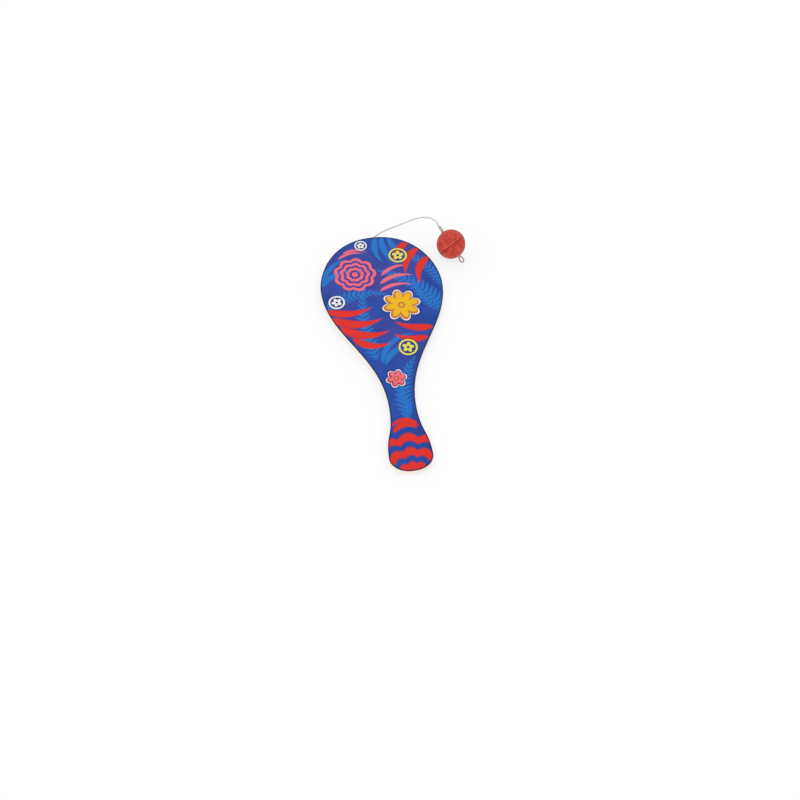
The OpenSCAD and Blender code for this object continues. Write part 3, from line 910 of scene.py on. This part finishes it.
cloudy = addNode(tree, noise, {"Vector": coords, "Scale": 1 / (rubber["cloud"] * mm),
                               "Detail": 5.0}, "Fac")
fine = addNode(tree, noise, {"Vector": coords, "Scale": 1 / (rubber["grit"] * mm),
                             "Detail": 3.0}, "Fac")
dusty = addNode(tree, mapRange, {0: cloudy, 1: rubber["dust"][0], 2: rubber["dust"][1],
                                 4: rubber["dust"][2]})
# Painted shade in the middle of each open cell, where the pits are
pit = addNode(tree, mapRange, {0: between, 3: rubber["pit"], 4: 0.0})
layers = [(dusty, "bloom"), (pit, "pitShadeInk")]
centre = toBall @ Vector((0, 0, 0))
boreWay = (toBall.to_3x3() @ Vector((1, 0, 0))).normalized()
fromCentre = addNode(tree, vec, {0: coords, 1: centre}, operation="SUBTRACT")
seam = addNode(tree, vec, {0: fromCentre, 1: boreWay / mm}, "Value",
               operation="DOT_PRODUCT")
# A painted shade line beside the seam's ridge, and a painted highlight on the ridge
for ink, place, reach, depth in rubber["seam"]:
    gap = addNode(tree, calc, {0: seam, 1: place}, operation="SUBTRACT")
    gap = addNode(tree, calc, {0: gap}, operation="ABSOLUTE")
    mask = addNode(tree, mapRange, {0: gap, 1: reach, 2: reach * rubber["seamFull"],
                                    4: depth})
    layers.append((mask, ink))
colour = toLinear(rubber["red"])
for mask, ink in layers:
    colour = addNode(tree, "ShaderNodeMix", {0: mask, 6: colour, 7: toLinear(rubber[ink])}, 2,
                     data_type="RGBA")
height = addNode(tree, calc, {0: fine, 1: rubber["gritShare"], 2: between},
                 operation="MULTIPLY_ADD")
addSurface(tree, colour, height, rubber["relief"], rubber["surface"])
rubberBall.data.materials.append(rubberMaterial)
print("ball: moulded")


# Floor, backdrop and lamps

studio = {"ambient": 0.88, "keyStrength": 0.6, "keySoft": 36.0, "keyFrom": (-0.8, -0.6, 0.8),
          "floor": "#f9f8f8", "fadeFrom": 0.3, "fadeTo": 1.1,
          "shadow": "#8d8a8b", "shadowReach": 0.04, "shadowDepth": 0.33}
bpy.ops.object.select_all(action="DESELECT")
bpy.ops.mesh.primitive_plane_add(size=6, location=(0, 0, 0))
floor = bpy.context.active_object
floor.name = "floor"

# A pale floor, clear to the eye over white, with a painted shadow: the eye sees a soft shadow of
# the object painted on it, darker where ambient occlusion finds the object near, and also the
# ball where it hangs below. A reflection sees it fade to white in the distance
floorMaterial, tree = newMaterial("clear glass over white")
path = addNode(tree, "ShaderNodeLightPath").node.outputs
mirrored = addNode(tree, calc, {0: path["Is Glossy Ray"], 1: path["Is Transmission Ray"]},
                   operation="MAXIMUM")
paper = addNode(tree, "ShaderNodeBsdfDiffuse", {"Color": toLinear(studio["floor"])})
coords = addNode(tree, "ShaderNodeTexCoord", output="Object")
away = addNode(tree, vec, {0: coords}, "Value", operation="LENGTH")
away = addNode(tree, mapRange, {0: away, 1: studio["fadeFrom"], 2: studio["fadeTo"]},
               interpolation_type="SMOOTHSTEP")
away = addNode(tree, calc, {0: away, 1: mirrored}, operation="MULTIPLY")
plain = addNode(tree, "ShaderNodeEmission", {"Strength": 1.0})
faded = addNode(tree, "ShaderNodeMixShader", {0: away, 1: paper, 2: plain})
# Painted shadow: a grey emission, stronger where ambient occlusion finds the object close above
openSky = addNode(tree, "ShaderNodeAmbientOcclusion", {"Distance": studio["shadowReach"]},
                   "AO", samples=8)
shade = addNode(tree, mapRange, {0: openSky, 1: 1.0, 2: 0.0, 4: studio["shadowDepth"]})
clear = addNode(tree, "ShaderNodeBsdfTransparent")
dark = addNode(tree, "ShaderNodeEmission", {"Color": toLinear(studio["shadow"])})
glass = addNode(tree, "ShaderNodeMixShader", {0: shade, 1: clear, 2: dark})
both = addNode(tree, "ShaderNodeMixShader", {0: path["Is Camera Ray"], 1: faded, 2: glass})
addNode(tree, "ShaderNodeOutputMaterial", {0: both})
floor.data.materials.append(floorMaterial)

world = bpy.data.worlds.new("studio")
world.use_nodes = True
world.node_tree.nodes.clear()
tree = world.node_tree
path = addNode(tree, "ShaderNodeLightPath").node.outputs
shown = path["Is Camera Ray"]
for ray in ("Is Glossy Ray", "Is Transmission Ray"):
    shown = addNode(tree, calc, {0: shown, 1: path[ray]}, operation="MAXIMUM")
strength = addNode(tree, mapRange, {0: shown, 3: studio["ambient"], 4: 1.0})
sky = addNode(tree, "ShaderNodeBackground", {"Color": (1, 1, 1, 1), "Strength": strength})
addNode(tree, "ShaderNodeOutputWorld", {0: sky})
bpy.context.scene.world = world

keyLamp = bpy.data.lights.new("key", "SUN")
keyLamp.energy = studio["keyStrength"]
keyLamp.angle = math.radians(studio["keySoft"])
key = bpy.data.objects.new("key", keyLamp)
key.rotation_mode = "QUATERNION"
key.rotation_quaternion = Vector(studio["keyFrom"]).to_track_quat("Z", "Y")
bpy.context.scene.collection.objects.link(key)
bpy.context.scene.view_settings.view_transform = "Standard"
print("studio: floor and lamps set")
